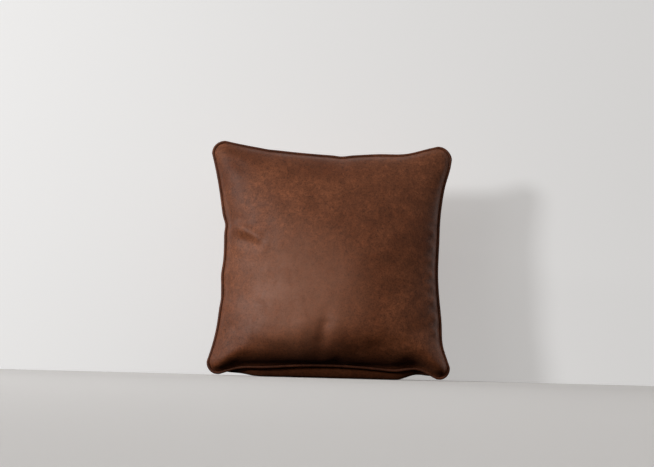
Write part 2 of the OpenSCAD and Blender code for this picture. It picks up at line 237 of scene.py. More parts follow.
def zip_point(angle, s, n):
    """Point at an angle along the zip, s up the face from its middle and n outwards."""
    a = math.radians(angle)
    r = ZIP_R + n * math.cos(ZIP_TILT) + s * math.sin(ZIP_TILT)
    v = ZIP_V - n * math.sin(ZIP_TILT) + s * math.cos(ZIP_TILT)
    return r * math.sin(a), r * math.cos(a) - ZIP_CENTRE, v


def zip_cone(u, v):
    r = ZIP_R + (v - ZIP_V) * math.tan(ZIP_TILT)
    return math.sqrt(max(0.0, r * r - u * u)) - ZIP_CENTRE


def zip_weight(u, v):
    across = 1 - smooth(ZIP_GAP + 10, 50, abs(v - ZIP_V))
    return across * (1 - smooth(ZIP_REACH + 28, ZIP_REACH + 50, abs(u)))


def back_w(x, y):
    u, v = plan(x, y)
    k = zip_weight(u, v)
    crown = back_crown(x, y)
    return crown * (1 - k) + k * zip_cone(u, v)


def back_sink(x, w, v):
    share = 1 - smooth(34, ZIP_V - ZIP_GAP / 2 - 8, v)
    return SLUMP * smooth(5, 17, w) * share * math.sqrt(bow(x))


# ---- Meshes ----


def add_object(name, data):
    thing = bpy.data.objects.new(name, data)
    bpy.context.scene.collection.objects.link(thing)
    return thing


def make_piece(name, points, faces, material, smooth_shade=True):
    mesh = bpy.data.meshes.new(name)
    mesh.from_pydata([tuple(p) for p in points], [], faces)
    mesh.validate()
    mesh.polygons.foreach_set("use_smooth", [smooth_shade] * len(mesh.polygons))
    mesh.materials.append(material)
    return add_object(name, mesh)


def settle(piece, body, node):
    """Hangs a piece on the empty of the body that it rides on, and hides the CAD node that it stands for.
    """
    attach(piece, body)
    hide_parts(node)


def add_part(name, shape, material, node, body="cover", smooth_shade=True):
    """Makes a piece from its points and faces, hangs it on its body and hides the CAD node that it stands
    for.
    """
    piece = make_piece(name, *shape, material, smooth_shade)
    settle(piece, body, node)
    return piece


def subdivide(piece):
    modifier = piece.modifiers.new("smooth", "SUBSURF")
    modifier.levels = 1
    modifier.render_levels = 1


def thicken(piece, thickness):
    modifier = piece.modifiers.new("thickness", "SOLIDIFY")
    modifier.thickness = thickness * MM
    modifier.offset = -1


def circle(count):
    """Cosines and sines of evenly spaced angles round a circle."""
    angles = [2 * math.pi * k / count for k in range(count)]
    return [(math.cos(a), math.sin(a)) for a in angles]


def grid_faces(across, up, flip):
    faces = []
    for j in range(up):
        for i in range(across):
            a = j * (across + 1) + i
            quad = (a, a + 1, a + across + 2, a + across + 1)
            faces.append(quad[::-1] if flip else quad)
    return faces


def ease(t):
    """Spaces grid lines closer together towards the seam, where the face turns sharply."""
    return t * (1.25 - 0.25 * t * t)


def tube(rows, closed):
    """Faces between rings of equal length: an endless tube, or one with capped ends."""
    n = len(rows[0])
    points = [p for row in rows for p in row]
    faces = []
    count = len(rows)
    for k in range(count if closed else count - 1):
        a, b = k * n, (k + 1) % count * n
        for i in range(n):
            j = (i + 1) % n
            faces.append((a + i, a + j, b + j, b + i))
    if not closed:
        faces.append(tuple(range(n))[::-1])
        faces.append(tuple((count - 1) * n + i for i in range(n)))
    return points, faces


def join_parts(parts):
    """One list of points and faces from several."""
    points, faces = [], []
    for part_points, part_faces in parts:
        base = len(points)
        points += part_points
        faces += [tuple(base + k for k in face) for face in part_faces]
    return points, faces


# ---- Cloth: the fill pushes a face out while its seam holds it ----

CLOTH = {
    "quality": 6,
    "mass": 0.3,
    "air_damping": 1.0,
    "tension_stiffness": 40,
    "compression_stiffness": 12,
    "shear_stiffness": 12,
    "bending_stiffness": 2.0,
    "tension_damping": 8,
    "compression_damping": 8,
    "shear_damping": 8,
    "use_pressure": True,
    "uniform_pressure_force": 2.0,
}


def relax(name, start, flat, faces, held, frames):
    """Relaxes a face from start towards its flat pattern's lengths. held is a weight a point."""
    mesh = bpy.data.meshes.new(name)
    mesh.from_pydata([Vector(p) * MM for p in start], [], faces)
    piece = add_object(name, mesh)
    piece.shape_key_add(name="start")
    pattern = piece.shape_key_add(name="flat")
    for point, place in zip(pattern.data, flat):
        point.co = Vector(place) * MM
    group = piece.vertex_groups.new(name="held")
    for k, weight in enumerate(held):
        if weight > 0:
            group.add([k], weight, "REPLACE")
    cloth = piece.modifiers.new("cloth", "CLOTH")
    settings = cloth.settings
    for key, value in CLOTH.items():
        setattr(settings, key, value)
    settings.vertex_group_mass = "held"
    settings.rest_shape_key = pattern
    settings.effector_weights.gravity = 0
    cloth.collision_settings.use_collision = False
    cloth.point_cache.frame_end = frames
    for number in range(1, frames + 1):
        bpy.context.scene.frame_set(number)
    shape = piece.evaluated_get(bpy.context.evaluated_depsgraph_get()).data
    result = [tuple(v.co / MM) for v in shape.vertices]
    bpy.data.objects.remove(piece)
    bpy.context.scene.frame_set(1)
    return result


# Folds that the pillow shows: soft strokes from one point to another, in u and v, with the stroke's
# half width and how far it stands out (or in, where negative)
FRONT_STROKES = [
    ((-196, 284), (-152, 268), 9, 1.6),
    ((-168, 272), (-124, 246), 8, 3.8),
    ((-176, 254), (-134, 240), 10, -2.8),
    ((-130, 232), (-118, 226), 15, 1.4),
    ((-120, 246), (-84, 238), 10, 1.0),
    ((-4, 106), (-14, 50), 11, -4.2),
    ((18, 112), (20, 56), 14, 1.4),
    ((-44, 108), (-50, 52), 16, 1.8),
    ((22, 424), (26, 396), 7, -1.6),
    ((-122, 432), (-114, 408), 6, -1.0),
    ((-150, 60), (-70, 44), 12, -2.0),
    ((60, 50), (150, 62), 13, -2.6),
    ((-205, 60), (-170, 96), 9, -1.4),
    ((196, 96), (150, 84), 10, -1.6),
    ((190, 400), (160, 378), 10, -1.2),
    ((-190, 404), (-160, 384), 10, -1.2),
]


# Puckers beside the right seam
PUCKER_REACH = 34
PUCKER_PITCH = 27
PUCKER_HEIGHT = 2.0


def stroke_height(u, v, stroke):
    (u0, v0), (u1, v1), reach, height = stroke
    du, dv = u1 - u0, v1 - v0
    length = math.hypot(du, dv)
    t = ((u - u0) * du + (v - v0) * dv) / (length * length)
    across = abs((u - u0) * dv - (v - v0) * du) / length
    past = max(0.0, -t, t - 1) * length
    taper = 1 - smooth(0.55, 1.0, abs(2 * t - 1)) * 0.6
    return height * taper * math.exp(-((across / reach) ** 2) - (past / (1.4 * reach)) ** 2)


def front_folds(u, v):
    """How far the front's folds and puckers stand out at a place, in millimetres."""
    height = sum(stroke_height(u, v, s) for s in FRONT_STROKES)
    edge = plan(1, (v - MID_V) / HALF_H)[0] - u
    if edge < PUCKER_REACH:
        wave = math.sin(2 * math.pi * v / PUCKER_PITCH + 0.8 * math.sin(v / 31))
        zone = smooth(60, 95, v) * (1 - smooth(275, 320, v))
        height += PUCKER_HEIGHT * wave * zone * math.exp(-((edge - 7) / 9) ** 2)
    p = Vector((u / 95, v / 95, 3.1))
    height += 1.3 * noise.noise(p) + 0.55 * noise.noise(p * 2.7)
    return height


def grid_normals(points, across, up, outward):
    """Unit normals of a grid of points, turned to the outward side in w."""
    normals = []
    for j in range(up + 1):
        for i in range(across + 1):
            left = points[j * (across + 1) + max(0, i - 1)]
            right = points[j * (across + 1) + min(across, i + 1)]
            below = points[max(0, j - 1) * (across + 1) + i]
            above = points[min(up, j + 1) * (across + 1) + i]
            n = (Vector(right) - Vector(left)).cross(Vector(above) - Vector(below))
            n.normalize()
            normals.append(n if n.y * outward > 0 else -n)
    return normals


def seam_wave(x, y):
    """How far the seam wanders backwards from its plane: a little everywhere, most at a corner."""
    u, v = x * HALF_W, MID_V + y * HALF_H
    wander = 1.1 * math.sin(u / 52 + 1.3) * math.cos(v / 61) + 0.6 * math.sin(v / 23 + u / 37)
    lower_right = bell(u, 215, 42) * bell(v, 10, 42)
    upper_left = bell(u, -215, 40) * bell(v, 435, 40)
    return wander + 3.0 * lower_right - 2.0 * upper_left


def with_wave(w, x, y):
    """Carries the seam's wander a short way into a face."""
    d = max(0.0, rim_distance(x, y))
    return w + seam_wave(x, y) * math.exp(-d / 22)


# ---- The panels' shapes ----

FRONT_ACROSS = 84
FRONT_UP = 80
PATTERN_EASE = 1.006
FRONT_FRAMES = 36
# How far the cloth may dent a face, in millimetres
FRONT_DENT = 8


def front_shares():
    shares = []
    for j in range(FRONT_UP + 1):
        for i in range(FRONT_ACROSS + 1):
            x = ease(2 * i / FRONT_ACROSS - 1)
            y = ease(2 * j / FRONT_UP - 1)
            shares.append(rounded_share(x, y))
    return shares


def flat_place(x, y, drift):
    """Place of a point on the flat pattern, whose sides aren't drawn in."""
    u = x * HALF_W * PATTERN_EASE - y * drift / 2
    return u, 0.0, y * HALF_H * PATTERN_EASE


def capped(start, moved, inward, outward, side):
    """Keeps a relaxed point within reach of where it started."""
    w = moved[1] * side
    w0 = start[1] * side
    w = min(max(w, w0 - inward), w0 + outward)
    return moved[0], w * side, moved[2]


def folded(shares, moved, across, up, side, lift):
    """Raises a relaxed face along its normals. lift(u, v, rim) says by how much."""
    placed = [(u, w, v + MID_V) for u, w, v in moved]
    normals = grid_normals(placed, across, up, side)
    surface = []
    for (x, y), p, n in zip(shares, placed, normals):
        surface.append(Vector(p) + n * lift(p[0], p[2], rim_distance(x, y)))
    return surface


def front_swell(v):
    """How far the fill may push the front out at a height: hardly at all low down, where it sits."""
    return 1 + 8 * smooth(60, 130, v)


def front_surface(shares):
    start = []
    for x, y in shares:
        u, v = face_plan(x, y)
        w = closed_down(front_crown(x, y), x, y)
        start.append((u, with_wave(-w, x, y), v - MID_V))
    flat = [flat_place(x, y, TOP_DRIFT) for x, y in shares]
    held = [1.0 if rim_distance(x, y) < AT_RIM else 0.0 for x, y in shares]
    faces = grid_faces(FRONT_ACROSS, FRONT_UP, False)
    moved = start
    relaxed = relax("front_relaxed", start, flat, faces, held, FRONT_FRAMES)
    moved = [capped(a, b, FRONT_DENT, front_swell(a[2] + MID_V), -1) for a, b in zip(start, relaxed)]

    def lift(u, v, rim):
        return front_folds(u, v) * smooth(0, 10, rim)

    return folded(shares, moved, FRONT_ACROSS, FRONT_UP, -1, lift)


def boundary(across, up):
    """Indexes of a grid's edge: along the bottom, up the right, back along the top, down the left."""
    row = across + 1
    bottom = [i for i in range(across)]
    right = [j * row + across for j in range(up)]
    top = [up * row + i for i in range(across, 0, -1)]
    left = [j * row for j in range(up, 0, -1)]
    return bottom, right, top, left


def tuck_rows(shares, edge, side):
    """Rings of points that turn a panel's edge in along the piping's flange."""
    rows = []
    for inset, w in TUCK:
        row = []
        for k in edge:
            x, y = shares[k]
            u, v = plan(x, y, inset)
            row.append(Vector((u, side * w + seam_wave(x, y), v)))
        rows.append(row)
    return rows


def add_tuck(points, faces, shares, edge, side, closed):
    """Joins the turned-in rings to a panel's edge."""
    previous = list(edge)
    for row in tuck_rows(shares, edge, side):
        base = len(points)
        points += row
        current = list(range(base, base + len(row)))
        count = len(row) if closed else len(row) - 1
        for k in range(count):
            m = (k + 1) % len(row)
            quad = (previous[m], previous[k], current[k], current[m])
            faces.append(quad if side < 0 else quad[::-1])
        previous = current


def stood(points, lowest=0.0):
    return [stand(p[0], p[1], p[2], lowest) for p in points]


def add_panel(name, node, points, faces, material):
    """A leather panel of the cover, from its outer face."""
    piece = add_part(name, (stood(points), faces), material, node)
    thicken(piece, SKIN)
    subdivide(piece)


def build_front(material):
    shares = front_shares()
    surface = front_surface(shares)
    faces = grid_faces(FRONT_ACROSS, FRONT_UP, False)
    points = list(surface)
    bottom, right, top, left = boundary(FRONT_ACROSS, FRONT_UP)
    add_tuck(points, faces, shares, bottom + right + top + left, -1, True)
    add_panel("front_leather", "front_panel", points, faces, material)
    return shares, surface


# ---- Back panels, which part along the zip ----

BACK_ACROSS = 84
UPPER_UP = 52
LOWER_UP = 34
SEAM_SLIT = 0.1
HEM_REACH = 16
BACK_FRAMES = 30
BACK_DENT = 2.2
BACK_SWELL = 8


def rows_up(side):
    return UPPER_UP if side > 0 else LOWER_UP


def half_gap(u):
    past = max(0.0, abs(u) - ZIP_REACH - 1)
    return max(SEAM_SLIT, SEAM_SLIT + (ZIP_GAP / 2 - SEAM_SLIT) * (1 - past / 12))


def zip_line_y(x, side):
    """Share of the half height where a back panel ends along the zip, at share x."""
    y = zip_share_y(ZIP_V)
    for _ in range(4):
        u, v = plan(x, y)
        y += (ZIP_V + side * half_gap(u) - v) / HALF_H
    return y


def back_shares(side):
    up = rows_up(side)
    shares = []
    for j in range(up + 1):
        for i in range(BACK_ACROSS + 1):
            x = ease(2 * i / BACK_ACROSS - 1)
            line = zip_line_y(x, side)
            t = j / up
            if side > 0:
                t = t * (0.55 + 1.25 * t - 0.8 * t * t)
                y = line + (1 - line) * t
            else:
                t = 1 - t
                t = t * (0.6 + 0.9 * t - 0.5 * t * t)
                y = line + (-1 - line) * t
            shares.append(rounded_share(x, y))
    return shares


def back_folds(u, v):
    """How far the back's folds stand out: soft over the upper panel, crumpled where it sits."""
    p = Vector((u / 90, v / 90, 8.7))
    height = 1.4 * noise.noise(p) + 0.5 * noise.noise(p * 2.9)
    low = 1 - smooth(40, 105, v)
    height += low * 1.6 * noise.noise(Vector((u / 46, v / 20, 2.2)))
    away = smooth(10, 34, abs(v - ZIP_V))
    height *= 0.15 + 0.85 * max(away, smooth(ZIP_REACH + 5, ZIP_REACH + 30, abs(u)))
    return height


def hem_height(u, v):
    """The folded edge beside the zip: full at the fold, pulled down along the stitches."""
    s = abs(v - ZIP_V)
    if s > HEM_REACH:
        return 0.0
    open_part = 1 - smooth(ZIP_REACH + 4, ZIP_REACH + 14, abs(u))
    fold = 0.35 * bell(s, ZIP_GAP / 2 + 0.9, 1.1) - 0.28 * bell(s, ZIP_GAP / 2 + 2.5, 0.8)
    rounded = -0.5 * bell(s, ZIP_GAP / 2 - 0.2, 0.45)
    seam = -1.3 * bell(s, 0, 2.2) * (1 - open_part)
    return open_part * (fold + rounded) + seam


def back_surface(side, shares):
    up = rows_up(side)
    start = []
    for x, y in shares:
        u, v = face_plan(x, y)
        w = closed_down(back_w(x, y), x, y)
        sunk = v - back_sink(x, w, v)
        start.append((u, with_wave(w, x, y), sunk - MID_V))
    moved = start
    if side > 0:
        flat = [flat_place(x, y, TOP_DRIFT) for x, y in shares]
        held = []
        for (x, y), p in zip(shares, start):
            band = 1 - smooth(20, 62, p[2] + MID_V - ZIP_V)
            held.append(1.0 if rim_distance(x, y) < AT_RIM else band)
        faces = grid_faces(BACK_ACROSS, up, True)
        relaxed = relax("back_relaxed", start, flat, faces, held, BACK_FRAMES)
        moved = [capped(a, b, BACK_DENT, BACK_SWELL, 1) for a, b in zip(start, relaxed)]

    def lift(u, v, rim):
        return back_folds(u, v) * smooth(0, 10, rim) + hem_height(u, v) * smooth(0, 3, rim)

    return folded(shares, moved, BACK_ACROSS, up, 1, lift)


def build_back(side, name, node, material):
    up = rows_up(side)
    shares = back_shares(side)
    surface = back_surface(side, shares)
    faces = grid_faces(BACK_ACROSS, up, True)
    points = list(surface)
    bottom, right, top, left = boundary(BACK_ACROSS, up)
    corner = up * (BACK_ACROSS + 1)
    if side > 0:
        edge = right + top + left + [0]
    else:
        edge = [corner] + left[1:] + bottom + right + [corner + BACK_ACROSS]
    add_tuck(points, faces, shares, edge, 1, False)
    add_panel(name, node, points, faces, material)


# ---- Piping round the seam ----

SIDE_STEPS = 76
CORNER_STEPS = 14
CORD_R = PIPING_D / 2 - WRAP - 0.3
CORD_TWIST = 0.55


def seam_shares():
    """The seam line's shares, anticlockwise seen from the front, from the lower left corner."""
    shares = []
    corners = [(-1, -1, 180), (1, -1, 270), (1, 1, 0), (-1, 1, 90)]
    ends = []
    for sx, sy, turn in corners:
        arc = []
        for k in range(CORNER_STEPS + 1):
            a = math.radians(turn + 90 * k / CORNER_STEPS)
            x = (sx * (HALF_W - CORNER_R) + CORNER_R * math.cos(a)) / HALF_W
            y = (sy * (HALF_H - CORNER_R) + CORNER_R * math.sin(a)) / HALF_H
            arc.append((x, y))
        ends.append(arc)
    for k, arc in enumerate(ends):
        following = ends[(k + 1) % 4][0]
        shares += arc
        for m in range(1, SIDE_STEPS):
            t = m / SIDE_STEPS
            shares.append((
                arc[-1][0] + (following[0] - arc[-1][0]) * t,
                arc[-1][1] + (following[1] - arc[-1][1]) * t,
            ))
    return shares


def seam_rows(section, inset):
    """Sections swept round the seam. section(k, n) gives points [outwards, backwards]."""
    shares = seam_shares()
    path = [plan(x, y, inset) for x, y in shares]
    n = len(path)
    rows = []
    for k in range(n):
        before, after = path[k - 1], path[(k + 1) % n]
        du, dv = after[0] - before[0], after[1] - before[1]
        length = math.hypot(du, dv)
        tu, tv = du / length, dv / length
        wave = seam_wave(*shares[k])
        row = []
        for out, back in section(k, n):
            row.append(stand(path[k][0] + tv * out, back + wave, path[k][1] - tu * out))
        rows.append(row)
    return rows


def arc_points(radius, count, turn):
    """Points of a circle from turn degrees round to minus turn, with their ends kept."""
    angles = [math.radians(turn - 2 * turn * k / count) for k in range(count + 1)]
    return [(radius * math.cos(a), radius * math.sin(a)) for a in angles]


def wrap_section(k, n):
    """The wrap's strip folded round the cord, with its two edges together as the flange."""
    lift = 1 + 0.018 * noise.noise(Vector((k * 0.21, 0.3, 0.7)))
    joint = bell(k, n * 0.22, 3.0)
    radius = PIPING_D / 2 * lift * (1 + 0.10 * joint)
    tip = -PIPING_D / 2 - FLANGE_W
    half = WRAP + 0.05
    outer = arc_points(radius, 20, 180 - math.degrees(math.asin(half / radius)))
    inner = arc_points(PIPING_D / 2 - WRAP, 14, 160)
    return [(tip, half)] + outer + [(tip, -half), (tip, -0.05)] + inner[::-1] + [(tip, 0.05)]


def cord_section(k, n):
    """Three strands that twist together as they go round."""
    section = []
    for m in range(18):
        a = 2 * math.pi * m / 18
        radius = CORD_R * (0.86 + 0.14 * abs(math.cos(1.5 * a + CORD_TWIST * k)))
        section.append((radius * math.cos(a), radius * math.sin(a)))
    return section


def build_piping(wrap_material, cord_material):
    inset = -PIPING_D / 2 - SEAM_GAP
    wrap = tube(seam_rows(wrap_section, inset), True)
    add_part("piping_leather_wrap", wrap, wrap_material, "piping_wrap")
    cord = tube(seam_rows(cord_section, inset), True)
    add_part("piping_filler_cord", cord, cord_material, "piping_cord")


# ---- Stitches ----


def ring(centre, across, up, radius):
    """Six points round a thread."""
    return [centre + (across * c + up * d) * radius * MM for c, d in circle(6)]


def stitch(place, start, end, radius):
    """One stitch: a short thread whose ends dive into the leather. place(t, n) gives a point."""
    rows = []
    for step, n in ((0, -0.5), (0.12, 0.05), (0.5, 0.22), (0.88, 0.05), (1, -0.5)):
        t = start + (end - start) * step
        centre = place(t, n)
        ahead = place(t + (end - start) * 0.05, n)
        direction = (ahead - centre).normalized()
        up = place(t, n + 1) - centre
        side = direction.cross(up).normalized()
        up = side.cross(direction)
        rows.append(ring(centre, side, up, radius))
    return tube(rows, False)


STITCH_LEN = 3.6
STITCH_PITCH = 4.3
STITCH_END = ZIP_HALF_ANGLE + along(8)
TOPSTITCH_R = 0.3
SEAM_STITCH_R = 0.18


def build_topstitch(side, name, node, material):
    s = side * (ZIP_GAP / 2 + 2.5)

    def place(angle, n):
        return stand(*zip_point(angle, s, n - 0.05))

    step = along(STITCH_PITCH)
    count = int(2 * STITCH_END / step)
    parts = []
    for k in range(count):
        a = -STITCH_END + k * step
        parts.append(stitch(place, a, a + along(STITCH_LEN), TOPSTITCH_R))
    add_part(name, join_parts(parts), material, node)


def build_seam_stitches(material):
    """The perimeter seam's thread: a row of stitches on each side of the flange."""
    shares = seam_shares()
    path = [plan(x, y, SKIN + 0.6) for x, y in shares]
    waves = [seam_wave(x, y) for x, y in shares]
    n = len(path)

    def at(t):
        k = int(t) % n
        f = t - int(t)
        a, b = path[k], path[(k + 1) % n]
        wave = waves[k] + (waves[(k + 1) % n] - waves[k]) * f
        return a[0] + (b[0] - a[0]) * f, a[1] + (b[1] - a[1]) * f, wave

    parts = []
    for side in (-1, 1):
        def place(t, height):
            u, v, wave = at(t)
            return stand(u, side * (0.78 + 0.12 * height) + wave, v)

        for k in range(n):
            parts.append(stitch(place, k + 0.08, k + 0.78, SEAM_STITCH_R))
    add_part("perimeter_stitches", join_parts(parts), material, "seam_thread")


# ---- Zip ----

TAPE_TOP = -SKIN - 0.25
TAPE_T = 0.6
COIL_H = 2.4
COIL_IN = 0.6
COIL_W = 2.6
SLIDER_LEN = 11.4
SLIDER_HALF_W = 4.75
STOP_LEN = 2.2
BOTTOM_STOP_LEN = 3
SLIDER_GAP = 0.3
TOP_STOP_AT = ZIP_HALF_ANGLE - along(STOP_LEN)
SLIDER_AT = TOP_STOP_AT - along(SLIDER_LEN / 2 + SLIDER_GAP)
COIL_PITCH = 2.2
COIL_STEPS = 12
COIL_MIDDLE = 1.45
LOOP_HALF_W = 1.5
FILAMENT_R = 0.36


def build_coil(side, name, node, material):
    """A nylon filament wound in flat loops; the two halves mesh half a pitch apart."""
    start = -ZIP_HALF_ANGLE + along(BOTTOM_STOP_LEN + 0.2)
    end = TOP_STOP_AT - along(0.2)
    turns = int((end - start) / along(COIL_PITCH))
    shift = 0.5 if side < 0 else 0.0

    def filament(k, angle):
        turn = 2 * math.pi * k / COIL_STEPS
        s = side * (COIL_MIDDLE - LOOP_HALF_W * math.cos(turn))
        n = TAPE_TOP + COIL_H / 2 + (COIL_H / 2 - FILAMENT_R) * math.sin(turn) * 0.98
        return stand(*zip_point(angle, s, n))

    rows = []
    for k in range(turns * COIL_STEPS + 1):
        angle = start + along(COIL_PITCH) * (k / COIL_STEPS * 0.98 + shift)
        centre = filament(k, angle)
        ahead = filament(k + 0.1, angle + along(COIL_PITCH) * 0.1 / COIL_STEPS)
        direction = (ahead - centre).normalized()
        lateral = filament(k, angle + 0.05) - centre
        normal = direction.cross(lateral).normalized()
        lateral = normal.cross(direction)
        rows.append(ring(centre, lateral, normal, FILAMENT_R))
    add_part(name, tube(rows, False), material, node)


def slider_axes():
    a = math.radians(SLIDER_AT)
    t = ZIP_TILT
    x = (-math.cos(a), math.sin(a), 0)
    y = (math.sin(t) * math.sin(a), math.sin(t) * math.cos(a), math.cos(t))
    z = (math.cos(t) * math.sin(a), math.cos(t) * math.cos(a), -math.sin(t))
    return x, y, z


def at_slider(x, y, z):
    """A point from the slider's middle: x back along the closed coil, y up the face, z outwards."""
    ax, ay, az = slider_axes()
    o = zip_point(SLIDER_AT, 0, 0)
    u, w, v = (o[k] + x * ax[k] + y * ay[k] + z * az[k] for k in range(3))
    return stand(u, w, v)


def prism(outline, z0, z1):
    """A closed solid between two heights from an outline in the slider's axes."""
    n = len(outline)
    points = [at_slider(x, y, z) for z in (z0, z1) for x, y in outline]
    faces = [tuple(range(n))[::-1], tuple(range(n, 2 * n))]
    for k in range(n):
        m = (k + 1) % n
        faces.append((k, m, n + m, n + k))
    return points, faces


def rounded_outline(corners, radius, steps=4):
    """An outline with each corner rounded off."""
    points = []
    n = len(corners)
    for k in range(n):
        here = Vector((*corners[k], 0))
        back = (Vector((*corners[k - 1], 0)) - here).normalized()
        ahead = (Vector((*corners[(k + 1) % n], 0)) - here).normalized()
        for m in range(steps + 1):
            t = m / steps
            p = here + back * radius * (1 - t) ** 2 + ahead * radius * t ** 2
            points.append((p.x, p.y))
    return points


def box_outline(x0, x1, y0, y1):
    return [(x0, y0), (x1, y0), (x1, y1), (x0, y1)]


PLATE_T = 1.2
PLATE_Z = TAPE_TOP + COIL_H + 0.3
UNDER_Z = TAPE_TOP - TAPE_T - 0.3
PLATE_TOP = PLATE_Z + PLATE_T
HINGE_Z = PLATE_TOP + 0.85
BAR_R = 0.6
BRIDGE_HALF = 4.2
SLIDER_BEVEL = 0.16
PULL_HALF_W = 3.3
PULL_HALF_T = 0.42
PULL_BEVEL = 0.18


# The bridge's section: share of its half thickness, and millimetres across
BRIDGE_SECTION = [
    (1, -0.8), (0.6, -1.05), (-0.6, -1.05), (-1, -0.8), (-1, 0.8), (-0.6, 1.05), (0.6, 1.05), (1, 0.8),
]


def build_slider(material):
    half = SLIDER_LEN / 2
    nose = SLIDER_HALF_W
    tail = SLIDER_HALF_W - 0.4
    top = [(-half, -nose), (half, -tail), (half + 0.5, 0), (half, tail), (-half, nose), (-half - 0.3, 0)]
    under = [(x * 0.95, y * 0.94) for x, y in top]
    parts = [
        prism(rounded_outline(top, 1.5), PLATE_Z, PLATE_TOP),
        prism(rounded_outline(under, 1.4), UNDER_Z - 1, UNDER_Z),
        prism(box_outline(-half + 0.6, -half + 4.2, -0.35, 0.35), UNDER_Z - 0.1, PLATE_Z + 0.1),
    ]
    for y in (-tail, tail - 1):
        lip = box_outline(-half + 1.6, half - 1.6, y, y + 1)
        parts.append(prism(lip, TAPE_TOP + 0.3, PLATE_Z + 0.1))
    bridge = []
    for k in range(13):
        t = math.pi * k / 12
        x = -BRIDGE_HALF * math.cos(t)
        rise = min(1.0, 1.9 * math.sin(t)) ** 0.7
        z = PLATE_TOP - 0.1 + (HINGE_Z + BAR_R + 0.65 - PLATE_TOP) * rise
        bridge.append((x, z))
    rows = []
    for k, (x, z) in enumerate(bridge):
        x0, z0 = bridge[max(0, k - 1)]
        x1, z1 = bridge[min(12, k + 1)]
        length = math.hypot(x1 - x0, z1 - z0)
        nx, nz = -(z1 - z0) / length, (x1 - x0) / length
        rows.append([at_slider(x + nx * 0.45 * a, y, z + nz * 0.45 * a) for a, y in BRIDGE_SECTION])
    parts.append(tube(rows, False))
    piece = add_part("slider_body", join_parts(parts), material, "zip_slider", "slider", False)
    edges = piece.modifiers.new("edges", "BEVEL")
    edges.width = SLIDER_BEVEL * MM
    edges.segments = 3
    edges.limit_method = "ANGLE"
    edges.harden_normals = False


def build_pull(material):
    """The pull tab: a stamped strip with a slot for the bridge and a hole in its round end."""
    end_x = PULL_LEN - PULL_HALF_W
    outline = [(-0.62, -2.7), (4.6, -2.7), (6.4, -PULL_HALF_W), (end_x, -PULL_HALF_W)]
    for k in range(1, 12):
        a = math.radians(-90 + 180 * k / 12)
        outline.append((end_x + PULL_HALF_W * math.cos(a), PULL_HALF_W * math.sin(a)))
    outline += [(end_x, PULL_HALF_W), (6.4, PULL_HALF_W), (4.6, 2.7), (-0.62, 2.7)]
    slot = rounded_outline(box_outline(0.6, 5.7, -1.5, 1.5), 0.5)
    hole = [(end_x + 1.4 * c, 1.4 * d) for c, d in circle(24)]
    curve = bpy.data.curves.new("pull_outline", "CURVE")
    curve.dimensions = "2D"
    curve.fill_mode = "BOTH"
    curve.extrude = PULL_HALF_T
    curve.bevel_depth = PULL_BEVEL
    curve.bevel_resolution = 2
    curve.offset = -PULL_BEVEL
    for loop in (outline, slot, hole):
        spline = curve.splines.new("POLY")
        spline.points.add(len(loop) - 1)
        for point, (x, y) in zip(spline.points, loop):
            point.co = (x, y, 0, 1)
        spline.use_cyclic_u = True
    shape = bpy.data.objects.new("pull_outline", curve)
    mesh = bpy.data.meshes.new_from_object(shape)
    bpy.data.objects.remove(shape)
    points = [at_slider(v.co.x, v.co.y, HINGE_Z + v.co.z) for v in mesh.vertices]
    faces = [tuple(p.vertices) for p in mesh.polygons]
    bar = [[at_slider(0.62 * c, y, HINGE_Z + 0.6 * d) for c, d in circle(20)] for y in (-2.66, 2.66)]
    tab = join_parts([(points, faces), tube(bar, False)])
    add_part("pull_tab", tab, material, "zip_pull_tab", "pull", False)


STOP_ROUNDING = 0.55


def stop_block(start, end, s0, s1, height):
    """A crimped metal stop along the zip: a low rounded staple over the coil."""
    centre = (s0 + s1) / 2
    half = (s1 - s0) / 2
    rows = []
    for k in range(7):
        t = k / 6
        angle = end + (start - end) * t
        shrink = 1 - 0.16 * (2 * t - 1) ** 4
        row = []
        for c, d in circle(16):
            s = centre + half * shrink * math.copysign(abs(c) ** STOP_ROUNDING, c)
            n = TAPE_TOP + height / 2 + height / 2 * shrink * math.copysign(abs(d) ** STOP_ROUNDING, d)
            row.append(stand(*zip_point(angle, s, n)))
        rows.append(row)
    return tube(rows, False)


def build_stops(material):
    reach = COIL_IN + COIL_W
    sides = [(-reach, -COIL_IN), (COIL_IN, reach)]
    top = join_parts([stop_block(TOP_STOP_AT, ZIP_HALF_ANGLE, s0, s1, COIL_H) for s0, s1 in sides])
    add_part("top_stops", top, material, "zip_top_stops")
    end = -ZIP_HALF_ANGLE + along(BOTTOM_STOP_LEN)
    bottom = stop_block(-ZIP_HALF_ANGLE, end, -reach, reach, COIL_H + 0.2)
    add_part("bottom_stop", bottom, material, "zip_bottom_stop")


# ---- Insert ----

TICKING_T = 0.5
FILL_IN = 0.8
FILL_SHARE = 0.994


def insert_point(p, side):
    """Moves a point of the cover's face in to where the insert's face lies."""
    share = 1 - INSERT_INSET / HALF_W
    u, w, v = p
    w = max(0.25, w * side - INSERT_DEPTH) * side
    return Vector((u * share, w, MID_V + (v - MID_V) * share))


def build_insert_face(which, points, across, up, side, material):
    faces = grid_faces(across, up, side > 0)
    inner = [insert_point(p, side) for p in points]
    shape = (stood(inner, INSERT_DEPTH), faces)
    node = f"insert_{which}_ticking"
    piece = add_part(f"insert_ticking_{which}", shape, material, node)
    thicken(piece, TICKING_T)
    subdivide(piece)
    return inner


def thin_out(points, across, up, step):
    kept = [
        points[j * (across + 1) + i]
        for j in range(0, up + 1, step)
        for i in range(0, across + 1, step)
    ]
    return kept, across // step, up // step


